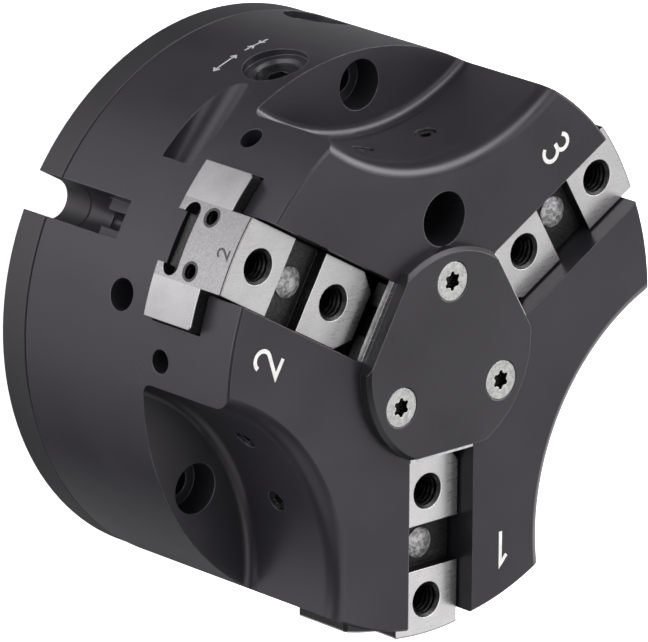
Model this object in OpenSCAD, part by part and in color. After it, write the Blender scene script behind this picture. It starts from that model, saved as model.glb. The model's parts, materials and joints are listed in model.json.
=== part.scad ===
// Three jaw centric gripper with a pneumatic piston and a wedge hook drive. All sizes in millimetres.
// z = 0 is the rear mounting face and +Z points to the jaws. Jaw 1 lies along -Y.
// It is drawn open: the piston is up, and its way down pulls the three jaws inwards.

/* [Housing] */
// Outer diameter of the housing
body_d = 125; // [124:0.5:132]
// How much smaller the rear cover is than the housing, on the diameter
rear_step = 0.4; // [0:0.1:1]
// Chamfer round the jaw face
face_chamfer = 0.5; // [0.3:0.1:1.5]
// Chamfer at the joint between the housing and the rear cover
joint_chamfer = 0.5; // [0.3:0.1:0.8]
// Thickness of the rear cover
rear_cover_t = 8; // [7.5:0.5:12]
// Thickness of the wall between the cylinder and the wedge hook
wall_t = 6; // [6:0.5:9]

/* [Cylinder] */
// Thickness of the cylinder's wall, from the bore to the outside
cylinder_wall = 16.5; // [16:0.5:20]
// Thickness of the piston
piston_t = 9.5; // [9:0.5:14]
// Diameter of the piston rod
rod_d = 24; // [20:0.5:26]
// Radial gap between the piston and the bore
piston_gap = 0.3; // [0.2:0.05:0.6]
// Gap left under and over the piston at the ends of its travel
end_gap = 0.3; // [0.2:0.1:0.6]
// Radial gap of the seals and bushes that run on a bore or a rod
run_gap = 0.05; // [0.02:0.01:0.09]
// Radial gap round pieces that sit still in their seats
seat_gap = 0.02; // [0.01:0.01:0.05]

/* [Drive] */
// Travel of each jaw
jaw_stroke = 10; // [8:0.5:10.5]
// Travel of a jaw for each millimetre of piston travel
wedge_ratio = 0.8; // [0.76:0.02:0.9]
// Width of each arm of the wedge hook
arm_w = 17.6; // [16:0.2:18]
// Radius of the wedge hook's arms at their foot
wedge_foot_r = 31; // [30:0.5:32]
// Depth of the neck of the inclined groove, and again of its head
groove_step = 3.9; // [3.5:0.1:4.2]
// Width of the groove's neck
neck_w = 7; // [6:0.2:8]
// Width of the groove's head
head_w = 12; // [11:0.2:12.4]
// Gap between the jaws' hooks and the wedge hook
hook_gap = 0.2; // [0.1:0.05:0.3]
// Height of the hook on each jaw
hook_h = 13; // [11:0.5:13.5]

/* [Jaws] */
// Width of the jaw where it stands in the face slot
stem_w = 18; // [17:0.5:20]
// Width of the jaw over its guide wings
wing_w = 36; // [33:0.5:37]
// Height of the guide wings
wing_h = 15; // [14:0.5:17]
// Height of the jaw above its wings
stem_h = 6.5; // [6:0.5:9]
// How far the jaw's top lies below the face
jaw_sink = 4.5; // [3:0.5:6]
// How far the open jaw's end stands out of the housing
jaw_proud = 3; // [0.5:0.5:5]
// Radius of the open jaw's inner end
jaw_inner_r = 23.1; // [23:0.1:24]
// Gap between the guide wings and their slot
guide_gap = 0.2; // [0.1:0.05:0.3]
// Gap on each side of the jaw in the face slot
stem_gap = 0.5; // [0.3:0.05:0.8]
// Core diameter of the jaw's fastening threads
jaw_thread_d = 6.8; // [5:0.1:7]
// Mouth diameter of the jaw's fastening threads
jaw_mouth_d = 8.3; // [7.4:0.1:9]
// Depth of the jaw's fastening threads
jaw_thread_depth = 14; // [10:0.5:17]
// Distance of the inner thread from the jaw's inner end
jaw_inner_edge = 9.55; // [8.5:0.05:10.5]
// Distance of the outer thread from the jaw's outer end
jaw_outer_edge = 7.75; // [7:0.25:9]
// Width of the groove across the jaw
cross_w = 10.4; // [8:0.2:12]
// Depth of the groove across the jaw
cross_depth = 3; // [1:0.5:4]
// Diameter of the plug in the jaw's groove
jaw_plug_d = 7; // [5:0.5:8]
// Core diameter of the two small threads in the jaw's end
end_thread_d = 3.3; // [2.5:0.1:4.2]
// Depth of the two small threads
end_thread_depth = 8; // [5:0.5:9]
// Distance of each small thread from the middle of the jaw
end_thread_side = 6.2; // [5:0.1:7]
// Height of the small threads over the foot of the jaw
end_thread_h = 10.5; // [9:0.1:11.5]
// Length of the groove in the jaw's end
end_groove_w = 16.8; // [14:0.2:17.6]
// Height of the groove in the jaw's end
end_groove_h = 4.5; // [3:0.1:5]
// Depth of the groove in the jaw's end
end_groove_depth = 4; // [2:0.25:5]
// Width of the mouth under the groove
end_mouth_w = 12; // [8:0.2:14]
// Height of the mouth under the groove
end_mouth_h = 2; // [1:0.1:3]

/* [Pockets and mounting] */
// Radius of the three scalloped pockets
pocket_r = 52; // [46:1:60]
// Place of the pocket walls, from the hole in the jaw face (0) to the mounting screws' heads (1)
pocket_share = 0.34; // [0.1:0.02:0.9]
// Height of the pocket walls
pocket_depth = 27.5; // [22:0.5:30]
// Fillet at the foot of the pocket walls
pocket_foot_r = 2.5; // [1:0.25:3.5]
// Rounding of the pocket walls into the face
pocket_rim_r = 4.3; // [2:0.1:5]
// Distance of the mounting holes and the cover screws from the outside
mount_edge = 7.8; // [7.5:0.1:8.2]
// Diameter of the mounting holes
mount_hole_d = 6.6; // [5.5:0.1:7]
// Diameter of the mounting screws' counterbore
mount_sink_d = 11.5; // [10:0.25:12]
// Depth of the mounting screws' counterbore
mount_sink_depth = 6.8; // [4:0.2:9]
// Diameter of the locating pin holes in the rear face
locate_d = 6; // [4:0.5:7]
// Depth of the locating pin holes
locate_depth = 6; // [4:0.5:6.5]

/* [Side wall] */
// Width of the sensor slots
sensor_w = 9.1; // [7:0.1:9.5]
// Depth of the sensor slots from the housing's outside
sensor_depth = 11.9; // [10:0.1:12.2]
// Width of the narrow channel in a sensor slot
channel_w = 4; // [3:0.1:5]
// Height at which a sensor slot turns into its narrow channel
channel_z = 16.7; // [12:0.1:22]
// Depth of the ledges beside the narrow channel
ledge_depth = 8.5; // [6:0.1:9.5]
// Diameter of the air ports
port_d = 9.8; // [8:0.1:10.5]
// Diameter of the flat round the air ports
port_flat_d = 14.7; // [13:0.1:15.5]
// Depth of the flat round the air ports
port_flat_depth = 1.8; // [1:0.1:2.5]
// Diameter of the air ducts
duct_d = 4; // [3:0.1:4.6]
// Diameter of the direct air connections in the rear face
direct_port_d = 5; // [4:0.1:6]
// Diameter of the bracket holes in the wall
bracket_hole_d = 7.2; // [5:0.1:8]
// Depth of the bracket holes
bracket_hole_depth = 8; // [5:0.5:9]
// Distance of the bracket holes from the middle of their jaw, to the side
bracket_side = 15.2; // [13:0.1:17]
// Diameter of the grease holes in the wall
grease_hole_d = 5.3; // [4:0.1:6]
// Depth of the grease holes
grease_hole_depth = 7; // [4:0.5:8]
// Distance of the grease holes from the guide wings, to the side
grease_side = 7.9; // [7:0.1:8.4]
// Diameter of the round groove that runs out of the wall
run_out_d = 10; // [8:0.2:11]
// Diameter of the duct plugs in the pocket walls
duct_plug_d = 5; // [4:0.25:6]

/* [Centre] */
// Diameter of the centre cover
centre_d = 48.8; // [46:0.2:50]
// Distance of the centre cover's flats from the axis
centre_flat = 21.3; // [20.5:0.1:22]
// Height of the centre cover
centre_h = 3; // [2.8:0.1:5]
// Chamfer of the centre cover
centre_chamfer = 0.9; // [0.3:0.1:1.2]
// Thickness of the wiper plate
wiper_t = 1.5; // [1:0.1:2]
// How far the wiper plate shows in front of the cover's flats
wiper_show = 1.2; // [0.6:0.1:1.5]
// Circle of the centre cover's screws
centre_screw_pcd = 34.1; // [33.4:0.1:35]
// Diameter of the hole in the jaw face
face_hole_d = 12.3; // [9:0.1:13]
// Distance of the hole in the jaw face from the axis
face_hole_r = 30.5; // [30:0.25:32]
// Depth of the hole in the jaw face
face_hole_depth = 14; // [8:0.5:20]

/* [Screws] */
// Thread diameter of the cover screws, front and rear
screw_d = 5; // [4:0.25:5]
// Head diameter of the centre cover's countersunk screws
sunk_head_d = 8.8; // [8.4:0.1:9.6]
// Head diameter of the rear cover's screws
cap_head_d = 8.5; // [8:0.1:9]
// Length of the rear cover's screws under their heads
cap_screw_l = 14; // [10:1:18]
// Thread diameter of the wedge hook's screw
wedge_screw_d = 6; // [5:0.25:6.5]
// Diameter of the pins that align the rear cover
pin_d = 4; // [3:0.25:5]

/* [Hidden] */
$fn = 96;
past = 1;
body_r = body_d / 2;
bore_r = body_r - cylinder_wall;
rod_r = rod_d / 2;
mount_r = body_r - mount_edge;

// Heights, from the rear face up
piston_stroke = jaw_stroke / wedge_ratio;
chamber_top = rear_cover_t + piston_t + piston_stroke + 2 * end_gap;
well_floor = chamber_top + wall_t;
well_gap = 0.4;
wedge_z0 = well_floor + well_gap + piston_stroke;
wing_z0 = wedge_z0 - 1;
wing_z1 = wing_z0 + wing_h;
jaw_top = wing_z1 + stem_h;
body_h = jaw_top + jaw_sink;
piston_z1 = chamber_top - end_gap;
piston_z0 = piston_z1 - piston_t;
slot_z0 = wing_z0 - guide_gap;
slot_z1 = wing_z1 + guide_gap;
nose_z = jaw_top - 4;
hook_z1 = wing_z0 + hook_h;
pocket_z = body_h - pocket_depth;
wiper_z = body_h - wiper_t;

// Angles, counter-clockwise from +X: the three jaws stand a third of a turn apart
jaw_turn = 360 / 3;
half_turn_between = jaw_turn / 2;
function jaw_angle(i) = 270 - jaw_turn * (i - 1);
port_a_angle = 104.8;
port_b_angle = 76.5;
port_a_z = well_floor + 0.8;
port_b_z = rear_cover_t + 9;
cover_screw_turn = 20;
locate_turn = 40;
pin_angles = [190, 350];
duct_plug_turn = 11.7;

// Radii on the jaws
jaw_end_r = body_r + jaw_proud;
outer_thread_r = jaw_end_r - jaw_outer_edge;
inner_thread_r = jaw_inner_r + jaw_inner_edge;
cross_r = (outer_thread_r + inner_thread_r) / 2;
centre_screw_r = centre_screw_pcd / 2;

// Radius of the wedge hook's inclined face at height z, at rest
function wedge_r(z) = wedge_foot_r - wedge_ratio * (z - wedge_z0);

// Outline of a band that follows the inclined face, between two radial offsets and two heights
function band(a, b, z0, z1) = [
    [wedge_r(z0) + a, z0],
    [wedge_r(z0) + b, z0],
    [wedge_r(z1) + b, z1],
    [wedge_r(z1) + a, z1]
];

// Puts its children at jaw i, whose way out is +X before the turn
module at_jaw(i) {
    rotate([0, 0, jaw_angle(i)])
        children();
}

module at_jaws() {
    for (i = [1:3])
        at_jaw(i)
            children();
}

module at_pockets() {
    for (i = [1:3])
        rotate([0, 0, jaw_angle(i) + half_turn_between])
            children();
}

// Makes an outline of (radius, height) points into a slab across the jaw's direction
module side_slab(points, width) {
    rotate([90, 0, 0])
        linear_extrude(width, center = true)
            polygon(points);
}

// A round bar along the radial direction
module radial_bar(r, from, to, z) {
    translate([from, 0, z])
        rotate([0, 90, 0])
            cylinder(r = r, h = to - from);
}

module ring(r_out, r_in, z0, z1) {
    translate([0, 0, z0])
        difference() {
            cylinder(r = r_out, h = z1 - z0);
            translate([0, 0, -past])
                cylinder(r = r_in, h = z1 - z0 + 2 * past);
        }
}

// A block centred on the radial direction
module radial_block(from, to, width, z0, z1) {
    translate([from, -width / 2, z0])
        cube([to - from, width, z1 - z0]);
}

// ---- Housing, up to the floor of the jaw slots ----

module housing_blank() {
    rotate_extrude()
        polygon([
            [0, rear_cover_t],
            [body_r - joint_chamfer, rear_cover_t],
            [body_r, rear_cover_t + joint_chamfer],
            [body_r, slot_z0],
            [0, slot_z0]
        ]);
}

module cylinder_bore() {
    translate([0, 0, rear_cover_t - past])
        cylinder(r = bore_r, h = chamber_top - rear_cover_t + past);
    rod_shoulder_r = rod_r + piston_gap;
    translate([0, 0, chamber_top - past])
        cylinder(r = rod_shoulder_r, h = wall_t + 2 * past);
    translate([0, 0, bush_z0])
        cylinder(r = bush_r + seat_gap, h = well_floor - bush_z0 + past);
}

module jaw_slot() {
    slot_w = stem_w + 2 * stem_gap;
    radial_block(-jaw_inner_r / 2, body_r + past, slot_w, slot_z1 - past, body_h + past);
    radial_block(-jaw_inner_r / 2, body_r + past, wing_w + 2 * guide_gap, slot_z0 - past, slot_z1);
}

// Room for the wedge hook's arms and the rod below the guides
module hook_well() {
    well_r = wedge_foot_r + 2.5;
    arm_gap = 0.9;
    intersection() {
        at_jaws()
            radial_block(0, well_r + past, arm_w + 2 * arm_gap, well_floor, slot_z0 + past);
        cylinder(r = well_r, h = body_h);
    }
    cylinder_between(rod_r + arm_gap, well_floor, slot_z0 + past);
}

// The pocket cutter's section: a foot fillet below and a flare into the face above,
// lifted a little so that the rounding meets the face at a small edge
module pocket_section() {
    rim_lift = 0.15;
    rim_z = body_h - pocket_rim_r;
    difference() {
        union() {
            translate([0, pocket_z])
                square([pocket_r, body_h - pocket_z + past]);
            translate([pocket_r - past, rim_z])
                square([pocket_rim_r + past, pocket_rim_r + past]);
        }
        translate([pocket_r + pocket_rim_r, rim_z + rim_lift])
            circle(r = pocket_rim_r);
        difference() {
            translate([pocket_r - pocket_foot_r, pocket_z - past])
                square([pocket_foot_r + past, pocket_foot_r + past]);
            translate([pocket_r - pocket_foot_r, pocket_z + pocket_foot_r])
                circle(r = pocket_foot_r);
        }
    }
}

module pocket() {
    translate([pocket_axis_r, 0, 0])
        rotate_extrude($fn = 180)
            pocket_section();
}

module mounting_hole() {
    translate([mount_r, 0, -past])
        cylinder(d = mount_hole_d, h = pocket_z + 2 * past);
    translate([mount_r, 0, pocket_z - mount_sink_depth])
        cylinder(d = mount_sink_d, h = mount_sink_depth + past);
}

// Slot for a position sensor, open to the rear, with a narrow channel in its upper part
module sensor_slot() {
    half_w = sensor_w / 2;
    floor_r = body_r - sensor_depth;
    top_z = chamber_top + 0.6;
    channel_floor_r = floor_r - 0.6;
    translate([floor_r + half_w, 0, -past])
        cylinder(r = half_w, h = channel_z + past);
    radial_block(floor_r + half_w, body_r + past, sensor_w, -past, channel_z);
    radial_block(body_r - ledge_depth, body_r + past, sensor_w, channel_z - past, top_z);
    translate([channel_floor_r + channel_w / 2, 0, channel_z - past])
        cylinder(d = channel_w, h = top_z - channel_z + past);
    radial_block(channel_floor_r + channel_w / 2, body_r, channel_w, channel_z - past, top_z);
}

module bracket_hole() {
    rotate([0, 0, asin(bracket_side / body_r)])
        radial_bar(bracket_hole_d / 2, body_r - bracket_hole_depth, body_r + past, bracket_z);
}

module grease_holes() {
    grease_turn = asin((wing_w / 2 + grease_side) / body_r);
    for (side = [-1, 1])
        rotate([0, 0, side * grease_turn])
            radial_bar(grease_hole_d / 2, body_r - grease_hole_depth, body_r + past, grease_z);
}

// Round groove whose axis lies level and square to its own direction, so that it runs out of the wall
module run_out_groove() {
    groove_angle = 138;
    centre_r = body_r - 0.85;
    end_step = 3.05;
    rotate([0, 0, groove_angle])
        translate([centre_r, -end_step, well_floor + 1])
            rotate([90, 0, 0])
                cylinder(d = run_out_d, h = body_r);
}

module port_cut() {
    radial_bar(port_flat_d / 2, port_floor_r, body_r + past, 0);
    radial_bar(port_d / 2, port_floor_r - port_depth, body_r, 0);
    mouth = 0.7;
    translate([port_floor_r - mouth, 0, 0])
        rotate([0, 90, 0])
            cylinder(r1 = port_d / 2, r2 = port_d / 2 + mouth, h = mouth);
}

// Air to the upper side of the piston
module upper_duct() {
    drop_r = bore_r - 3;
    rotate([0, 0, port_a_angle]) {
        translate([0, 0, port_a_z]) {
            port_cut();
            radial_bar(duct_d / 2, drop_r, port_floor_r, 0);
        }
        translate([drop_r, 0, chamber_top - past])
            cylinder(d = duct_d, h = port_a_z - chamber_top + past);
        axial_duct(port_a_z);
    }
}

// Air to the lower side of the piston, by a slanted drilling
module lower_duct() {
    slant = 35;
    rotate([0, 0, port_b_angle]) {
        translate([0, 0, port_b_z])
            port_cut();
        translate([axial_duct_r, 0, port_b_z])
            rotate([0, -90 - slant, 0])
                cylinder(d = duct_d - 1, h = axial_duct_r - bore_r + 4);
        axial_duct(port_b_z);
    }
}

// Drilling from the rear cover up to a port
module axial_duct(top) {
    translate([axial_duct_r, 0, rear_cover_t - past])
        cylinder(d = duct_d, h = top - rear_cover_t + past);
}

// Runs its children at the six rear cover screws
module at_cover_screws() {
    for (i = [1:3])
        for (side = [-1, 1])
            rotate([0, 0, jaw_angle(i) + side * cover_screw_turn])
                translate([mount_r, 0, 0])
                    children();
}

module at_pins() {
    for (a = pin_angles)
        rotate([0, 0, a])
            translate([mount_r, 0, 0])
                children();
}

module at_centre_screws() {
    at_pockets()
        translate([centre_screw_r, 0, 0])
            children();
}

// Puts its children on the pocket wall, square to it, on one side of the pocket's middle
module duct_plug_place(side) {
    wall_point_r = pocket_axis_r * cos(duct_plug_turn)
        - sqrt(pocket_r * pocket_r - pow(pocket_axis_r * sin(duct_plug_turn), 2));
    lean = asin(wall_point_r * sin(duct_plug_turn) / pocket_r);
    translate([pocket_axis_r, 0, duct_plug_z])
        rotate([0, 0, -side * lean])
            translate([-pocket_r, 0, 0])
                rotate([0, -90, 0])
                    children();
}

module at_duct_plugs() {
    at_pockets()
        for (side = [-1, 1])
            duct_plug_place(side)
                children();
}

module housing() {
    color("#3b3c40")
        difference() {
            housing_blank();
            cylinder_bore();
            at_jaws() {
                sensor_slot();
                bracket_hole();
            }
            hook_well();
            at_pockets() {
                pocket();
                mounting_hole();
            }
            run_out_groove();
            upper_duct();
            lower_duct();
            at_cover_screws()
                translate([0, 0, rear_cover_t - past])
                    cylinder(d = screw_d + 2 * seat_gap, h = cap_screw_l + past);
            at_pins()
                translate([0, 0, rear_cover_t - past])
                    cylinder(d = pin_d + 2 * seat_gap, h = pin_l / 2 + past + 0.3);
        }
}

// ---- The housing's three segments over that floor, between the jaw slots ----

// A third of the housing, with its middle along +X
module segment_blank() {
    reach = 2 * body_r;
    side_x = reach * cos(half_turn_between);
    side_y = reach * sin(half_turn_between);
    intersection() {
        rotate_extrude()
            polygon([
                [0, slot_z0],
                [body_r, slot_z0],
                [body_r, body_h - face_chamfer],
                [body_r - face_chamfer, body_h],
                [0, body_h]
            ]);
        translate([0, 0, slot_z0 - past])
            linear_extrude(body_h)
                polygon([
                    [-past, 0],
                    [side_x, -side_y],
                    [reach, 0],
                    [side_x, side_y]
                ]);
    }
}

module face_segment(i) {
    color("#3b3c40")
        rotate([0, 0, jaw_angle(i) + half_turn_between])
            difference() {
                segment_blank();
                for (side = [-1, 1])
                    rotate([0, 0, side * half_turn_between])
                        jaw_slot();
                for (side = [-1, 1])
                    rotate([0, 0, side * half_turn_between])
                        grease_holes();
                pocket();
                translate([0, 0, wiper_z])
                    cylinder(r = wiper_r + seat_gap, h = wiper_t + past);
                translate([centre_screw_r, 0, slot_z1 - past])
                    cylinder(d = screw_d + 2 * seat_gap, h = body_h);
                for (side = [-1, 1])
                    duct_plug_place(side)
                        translate([0, 0, -past])
                            cylinder(d = duct_plug_d + 2 * seat_gap, h = duct_plug_l + 0.4 + past);
                if (i == 3)
                    translate([face_hole_r, 0, body_h - face_hole_depth])
                        cylinder(d = face_hole_d, h = face_hole_depth + past);
            }
}

module face_segment_1() {
    face_segment(1);
}

module face_segment_2() {
    face_segment(2);
}

module face_segment_3() {
    face_segment(3);
}

// ---- Rear cover and what closes it ----

module rear_cover() {
    rim_r = body_r - rear_step / 2;
    color("#2f3033")
        difference() {
            rotate_extrude()
                polygon([
                    [0, 0],
                    [rim_r - joint_chamfer, 0],
                    [rim_r, joint_chamfer],
                    [rim_r, rear_cover_t - joint_chamfer],
                    [rim_r - joint_chamfer, rear_cover_t],
                    [0, rear_cover_t]
                ]);
            at_jaws()
                sensor_slot();
            at_pockets()
                mounting_hole();
            at_cover_screws() {
                translate([0, 0, -past])
                    cylinder(d = screw_d + 2 * cap_clear, h = rear_cover_t + 2 * past);
                translate([0, 0, -past])
                    cylinder(d = cap_head_d + 2 * cap_clear, h = cap_head_z + screw_d + past);
            }
            at_pins()
                translate([0, 0, rear_cover_t - pin_l / 2])
                    cylinder(d = pin_d + 2 * seat_gap, h = pin_l);
            for (side = [-1, 1])
                rotate([0, 0, jaw_angle(1) + side * locate_turn])
                    translate([mount_r, 0, -past])
                        cylinder(d = locate_d, h = locate_depth + past);
            for (a = [port_a_angle, port_b_angle])
                rotate([0, 0, a])
                    translate([axial_duct_r, 0, -past])
                        cylinder(d = direct_port_d, h = rear_cover_t + 2 * past);
            ring(o_ring_r + o_ring_d * 0.65, o_ring_r - o_ring_d * 0.65,
                rear_cover_t - o_ring_d - seat_gap, rear_cover_t + past);
        }
}

module rear_cover_screws() {
    socket_depth = screw_d * 0.55;
    color("#8e9194")
        at_cover_screws()
            difference() {
                union() {
                    translate([0, 0, cap_head_z])
                        cylinder(d = cap_head_d, h = screw_d);
                    translate([0, 0, cap_head_z + screw_d])
                        cylinder(d = screw_d, h = cap_screw_l);
                }
                translate([0, 0, cap_head_z - past])
                    cylinder(d = screw_d * 0.92, h = socket_depth + past, $fn = 6);
            }
}

module alignment_pins() {
    color("#b4b6b8")
        at_pins()
            translate([0, 0, rear_cover_t - pin_l / 2])
                cylinder(d = pin_d, h = pin_l);
}

module cover_o_ring() {
    color("#1c1c1d")
        translate([0, 0, rear_cover_t - o_ring_d / 2 - seat_gap / 2])
            rotate_extrude()
                translate([o_ring_r, 0])
                    circle(d = o_ring_d);
}

// ---- Piston and its rings ----

module piston() {
    lead = 1.5;
    disc_r = bore_r - piston_gap;
    color("#a9adb0")
        difference() {
            union() {
                rotate_extrude()
                    polygon([
                        [0, piston_z0],
                        [disc_r - lead, piston_z0],
                        [disc_r, piston_z0 + lead],
                        [disc_r, piston_z1],
                        [0, piston_z1]
                    ]);
                cylinder_between(rod_r, piston_z1 - past, wedge_z0);
                cylinder_between(spigot_r, wedge_z0 - past, wedge_z0 + spigot_h);
            }
            ring(bore_r + past, seal_in_r, seal_z0, seal_z0 + seal_w);
            ring(bore_r + past, guide_in_r, guide_z0, guide_z0 + guide_w);
            ring(magnet_out_r, magnet_in_r, piston_z0 - past, piston_z0 + magnet_h);
            cylinder_between(wedge_screw_d / 2 + seat_gap, wedge_z0 - wedge_screw_grip - past, jaw_top);
        }
}

module cylinder_between(r, z0, z1) {
    translate([0, 0, z0])
        cylinder(r = r, h = z1 - z0);
}

module piston_seal() {
    color("#26262a")
        ring(bore_r - run_gap, seal_in_r + seat_gap, seal_z0 + seat_gap, seal_z0 + seal_w - seat_gap);
}

module piston_guide_ring() {
    color("#6d5a3a")
        ring(bore_r - run_gap, guide_in_r + seat_gap, guide_z0 + seat_gap, guide_z0 + guide_w - seat_gap);
}

module piston_magnet() {
    color("#4a4b4f")
        ring(magnet_out_r - seat_gap, magnet_in_r + seat_gap, piston_z0 + 0.2, piston_z0 + magnet_h);
}

module rod_bush() {
    color("#a98a4a")
        ring(bush_r, rod_r + run_gap, bush_z0, bush_z0 + bush_h);
}

module rod_seal() {
    color("#26262a")
        ring(bush_r, rod_r + run_gap, bush_z0 + bush_h + seat_gap, well_floor);
}

// ---- Wedge hook ----

module wedge_hook() {
    color("#c3c5c7")
        difference() {
            at_jaws()
                side_slab([
                    [0, wedge_z0],
                    [wedge_r(wedge_z0), wedge_z0],
                    [wedge_r(jaw_top), jaw_top],
                    [0, jaw_top]
                ], arm_w);
            at_jaws() {
                side_slab(band(-groove_step, past, wedge_z0 - past, jaw_top + past), neck_w);
                side_slab(band(-2 * groove_step, -groove_step, wedge_z0 - past, jaw_top + past), head_w);
            }
            cylinder_between(spigot_r + seat_gap, wedge_z0 - past, wedge_z0 + spigot_h + seat_gap);
            cylinder_between(wedge_screw_d / 2 + 0.3, wedge_z0, jaw_top + past);
            cylinder_between(wedge_head_d / 2 + 0.3, wedge_head_z, jaw_top + past);
        }
}

module wedge_screw() {
    socket_depth = wedge_screw_d * 0.55;
    color("#8e9194")
        difference() {
            union() {
                cylinder_between(wedge_head_d / 2, wedge_head_z, wedge_head_z + wedge_screw_d);
                cylinder_between(wedge_screw_d / 2, wedge_z0 - wedge_screw_grip, wedge_head_z);
            }
            translate([0, 0, wedge_head_z + wedge_screw_d - socket_depth])
                cylinder(d = wedge_screw_d * 0.95, h = socket_depth + past, $fn = 6);
        }
}

// ---- Base jaws ----

// Outline of the guide wings, with their front edges broken, lying across the jaw
module wing_section() {
    broken = 0.7;
    half_w = wing_w / 2;
    polygon([
        [-half_w, 0],
        [half_w, 0],
        [half_w, wing_h - broken],
        [half_w - broken, wing_h],
        [broken - half_w, wing_h],
        [-half_w, wing_h - broken]
    ]);
}

// Nose of the jaw over the wedge hook, from its inclined face to its top
module jaw_side(inner_r, top) {
    face_gap = 2 * hook_gap;
    foot_r = wedge_r(wing_z0) + face_gap;
    side_slab([
        [foot_r, wing_z0],
        [max(inner_r, wedge_r(nose_z) + face_gap), min(nose_z, wing_z0
            + (foot_r - max(inner_r, wedge_r(nose_z) + face_gap)) / wedge_ratio)],
        [max(inner_r, wedge_r(nose_z) + face_gap), nose_z],
        [jaw_inner_r, nose_z],
        [jaw_inner_r, top],
        [jaw_end_r + past, top],
        [jaw_end_r + past, wing_z0]
    ], wing_w + past);
}

module jaw_body() {
    intersection() {
        union() {
            intersection() {
                radial_block(0, jaw_end_r + past, stem_w, wing_z0, jaw_top);
                jaw_side(0, jaw_top);
            }
            intersection() {
                translate([jaw_inner_r, 0, wing_z0])
                    rotate([90, 0, 90])
                        linear_extrude(jaw_end_r)
                            wing_section();
                jaw_side(jaw_inner_r, jaw_top);
            }
        }
        cylinder(r = jaw_end_r, h = jaw_top);
    }
    jaw_hook();
}

// The T shaped hook that runs in the wedge hook's inclined groove
module jaw_hook() {
    lip = groove_step + hook_gap;
    side_slab(band(-lip - past / 2, past, wing_z0, hook_z1), neck_w - 2 * hook_gap);
    side_slab(band(-2 * groove_step + hook_gap, -lip, wing_z0, hook_z1), head_w - 2 * hook_gap);
}

// Bevels at both corners of the jaw's inner end
module inner_bevels() {
    bevel_x = 4.2;
    bevel_y = 3.5;
    half_w = stem_w / 2;
    for (side = [-1, 1])
        translate([jaw_inner_r, side * half_w, nose_z])
            linear_extrude(jaw_top - nose_z + past)
                polygon([
                    [-past, -side * (bevel_y + past * bevel_y / bevel_x)],
                    [bevel_x, 0],
                    [bevel_x, side * past],
                    [-past, side * past]
                ]);
}

module jaw_thread(r) {
    mouth = (jaw_mouth_d - jaw_thread_d) / 2;
    translate([r, 0, jaw_top - jaw_thread_depth])
        cylinder(d = jaw_thread_d, h = jaw_thread_depth + past);
    translate([r, 0, jaw_top - mouth])
        cylinder(d1 = jaw_thread_d, d2 = jaw_mouth_d + 2 * past, h = mouth + past);
}

// The two step groove and the two small threads in the jaw's outer end
module jaw_end_cuts() {
    from = jaw_end_r - end_groove_depth;
    groove_z = wing_z0 + end_mouth_h;
    mid_z = groove_z + end_groove_h / 2;
    side_y = (end_groove_w - end_groove_h) / 2;
    thread_z = wing_z0 + end_thread_h;
    radial_block(from, jaw_end_r + past, end_mouth_w, wing_z0 - past, mid_z);
    radial_block(from, jaw_end_r + past, 2 * side_y, groove_z, groove_z + end_groove_h);
    for (side = [-1, 1]) {
        translate([0, side * side_y, 0])
            radial_bar(end_groove_h / 2, from, jaw_end_r + past, mid_z);
        translate([0, side * end_thread_side, 0])
            radial_bar(end_thread_d / 2, jaw_end_r - end_thread_depth, jaw_end_r + past, thread_z);
    }
}

module base_jaw(i) {
    color("#d3d4d4")
        at_jaw(i)
            difference() {
                jaw_body();
                inner_bevels();
                jaw_thread(inner_thread_r);
                jaw_thread(outer_thread_r);
                radial_block(cross_r - cross_w / 2, cross_r + cross_w / 2, stem_w + past,
                    jaw_top - cross_depth, jaw_top + past);
                translate([cross_r, 0, jaw_top - cross_depth - jaw_plug_l])
                    cylinder(d = jaw_plug_d + 2 * seat_gap, h = jaw_plug_l + past);
                jaw_end_cuts();
            }
}

// A plug with a low dome, pressed into the floor of the jaw's groove
module jaw_plug(i) {
    dome_h = 1;
    rise = 0.4;
    plug_r = jaw_plug_d / 2;
    dome_r = (plug_r * plug_r + dome_h * dome_h) / (2 * dome_h);
    foot_z = jaw_top - cross_depth - jaw_plug_l;
    color("#b9bab8")
        at_jaw(i)
            translate([cross_r, 0, foot_z])
                intersection() {
                    cylinder(r = plug_r, h = jaw_plug_l + rise + dome_h);
                    translate([0, 0, jaw_plug_l + rise + dome_h - dome_r])
                        sphere(r = dome_r);
                }
}

module base_jaw_1() {
    base_jaw(1);
}

module base_jaw_2() {
    base_jaw(2);
}

module base_jaw_3() {
    base_jaw(3);
}

module jaw_plug_1() {
    jaw_plug(1);
}

module jaw_plug_2() {
    jaw_plug(2);
}

module jaw_plug_3() {
    jaw_plug(3);
}

// ---- Centre cover ----

module centre_cover() {
    centre_r = centre_d / 2;
    color("#3f4044")
        translate([0, 0, body_h])
            difference() {
                rotate_extrude()
                    polygon([
                        [0, 0],
                        [centre_r, 0],
                        [centre_r, centre_h - centre_chamfer],
                        [centre_r - centre_chamfer, centre_h],
                        [0, centre_h]
                    ]);
                at_jaws()
                    radial_block(centre_flat, centre_r + past, centre_d, -past, centre_h + past);
                at_centre_screws()
                    sunk_seat();
            }
}

// Countersink and clearance hole, with the countersink's rim at the cover's top
module sunk_seat() {
    seat_r = sunk_head_d / 2 + centre_screw_sunk + 0.05;
    screw_hole_r = screw_d / 2 + cap_clear;
    sunk_h = seat_r - screw_hole_r;
    translate([0, 0, -past])
        cylinder(r = screw_hole_r, h = centre_h + 2 * past);
    translate([0, 0, centre_h - sunk_h])
        cylinder(r1 = screw_hole_r, r2 = seat_r, h = sunk_h);
    translate([0, 0, centre_h - 0.01])
        cylinder(r = seat_r, h = past);
}

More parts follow.
